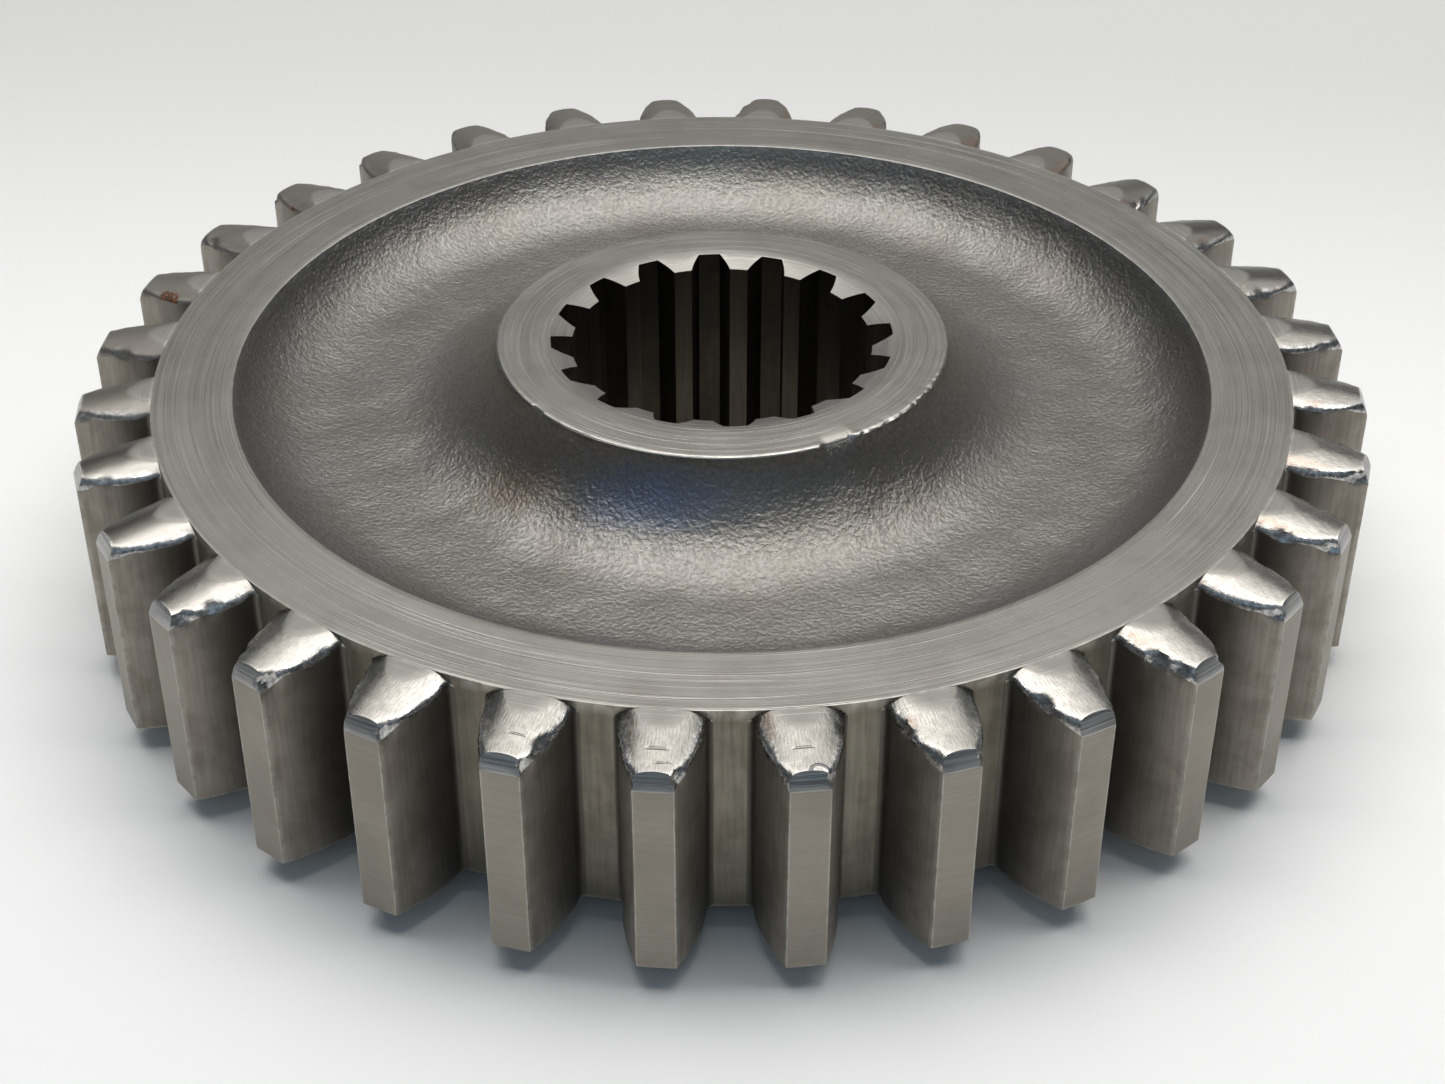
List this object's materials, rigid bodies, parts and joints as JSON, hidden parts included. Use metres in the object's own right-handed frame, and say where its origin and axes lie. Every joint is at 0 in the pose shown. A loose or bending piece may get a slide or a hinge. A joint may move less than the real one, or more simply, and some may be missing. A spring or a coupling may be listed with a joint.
{
  "type": "sliding spur gear",
  "caption": "Spur gear with rounded tooth ends, a recessed forged web and a splined bore, made to slide along its shaft into mesh.",
  "frame": {"origin": "centre of the lower hub face, on the gear's axis", "axes": "+Z along the axis, from the plain tooth ends to the rounded ones; +X through the middle of a tooth"},
  "size_m": [0.1706, 0.1706, 0.0356],
  "materials": {
    "steel": "turned faces, forged web, worn and burnished tooth ends"
  },
  "bodies": {
    "root": {"sliding_gear": "steel"}
  },
  "joints": []
}
